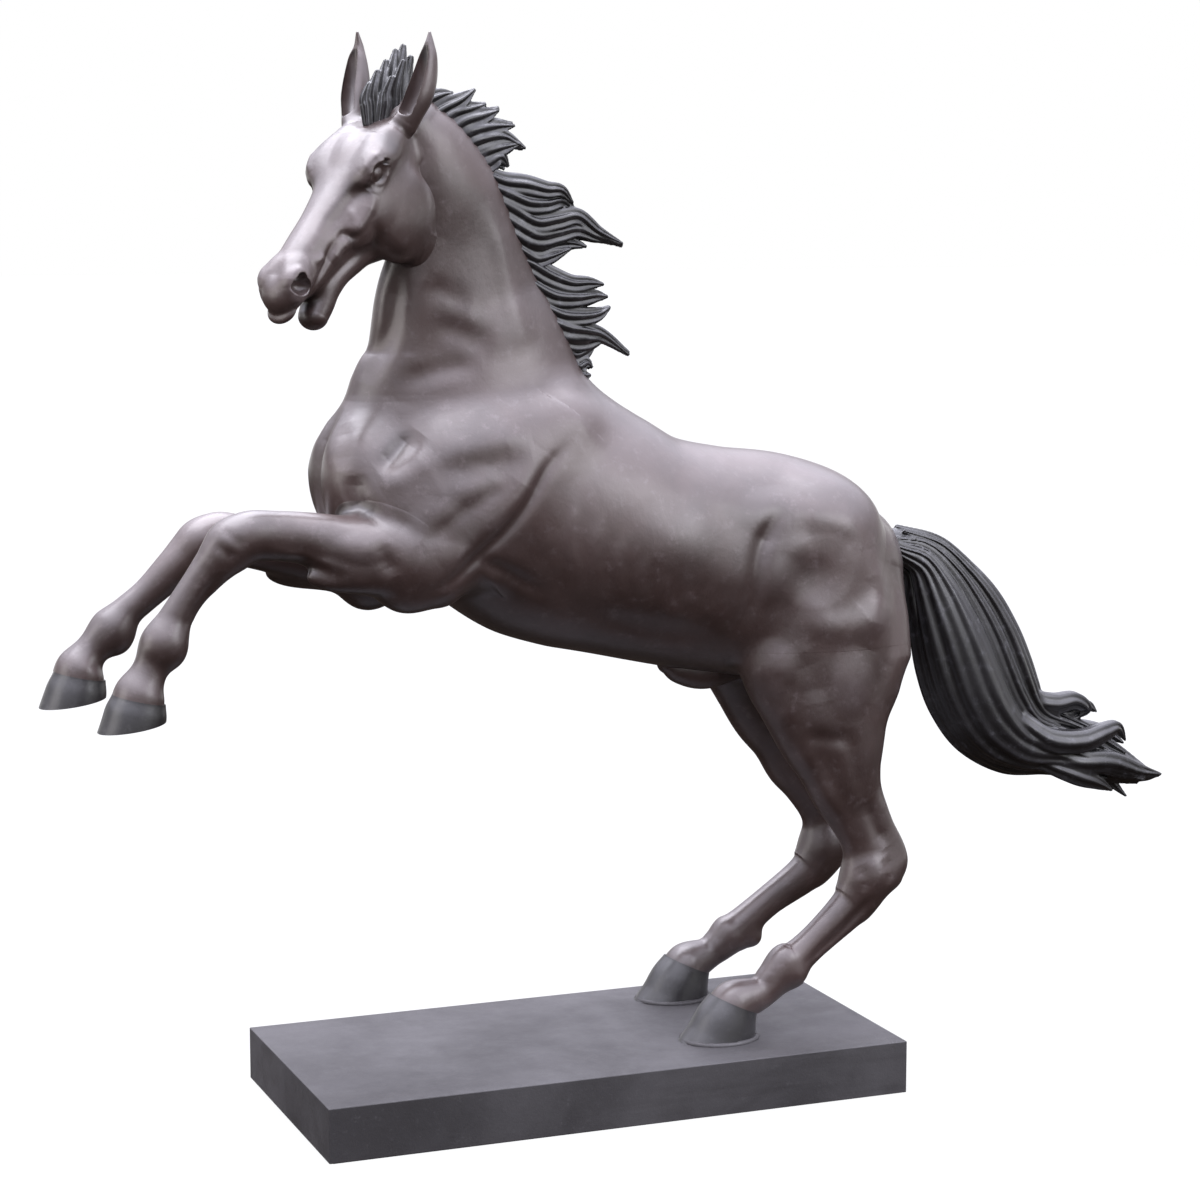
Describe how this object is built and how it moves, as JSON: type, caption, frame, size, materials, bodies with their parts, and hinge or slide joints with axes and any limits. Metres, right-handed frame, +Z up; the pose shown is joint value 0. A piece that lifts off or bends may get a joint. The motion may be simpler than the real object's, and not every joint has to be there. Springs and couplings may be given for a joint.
{
  "type": "horse statue",
  "caption": "Rearing horse in hollow dark-patinated bronze, standing on its hind legs on a plain rectangular bronze base.",
  "frame": {"origin": "centre of the base's underside, on the ground", "axes": "+Z up, the horse faces -X, its left side faces -Y"},
  "size_m": [2.1698, 0.52, 1.88],
  "materials": {
    "body_bronze": "waxed brown patina",
    "hair_bronze": "black patina, satin",
    "hoof_bronze": "dark grey patina",
    "base_bronze": "weathered grey-brown patina",
    "steel": "bare stainless"
  },
  "bodies": {
    "root": {"base_top_plate": "base_bronze", "base_front_wall": "base_bronze", "base_rear_wall": "base_bronze", "base_left_wall": "base_bronze", "base_right_wall": "base_bronze", "base_cross_ribs": "base_bronze", "anchor_lugs": "base_bronze", "backing_plates": "steel", "hoof_studs": "steel", "stud_washers": "steel", "stud_nuts": "steel", "left_leg_bar": "steel", "right_leg_bar": "steel", "hip_crossbar": "steel", "spine_tube": "steel", "neck_bar": "steel", "head": "body_bronze", "left_ear": "body_bronze", "right_ear": "body_bronze", "forelock": "hair_bronze", "neck": "body_bronze", "mane_upper": "hair_bronze", "mane_middle": "hair_bronze", "mane_lower": "hair_bronze", "forequarters": "body_bronze", "barrel": "body_bronze", "hindquarters": "body_bronze", "sheath": "body_bronze", "left_forearm": "body_bronze", "left_fore_cannon": "body_bronze", "left_fore_hoof": "hoof_bronze", "right_forearm": "body_bronze", "right_fore_cannon": "body_bronze", "right_fore_hoof": "hoof_bronze", "left_thigh": "body_bronze", "left_gaskin": "body_bronze", "left_hind_cannon": "body_bronze", "left_hind_hoof": "hoof_bronze", "right_thigh": "body_bronze", "right_gaskin": "body_bronze", "right_hind_cannon": "body_bronze", "right_hind_hoof": "hoof_bronze", "tail_upper": "hair_bronze", "tail_lower": "hair_bronze"}
  },
  "joints": []
}
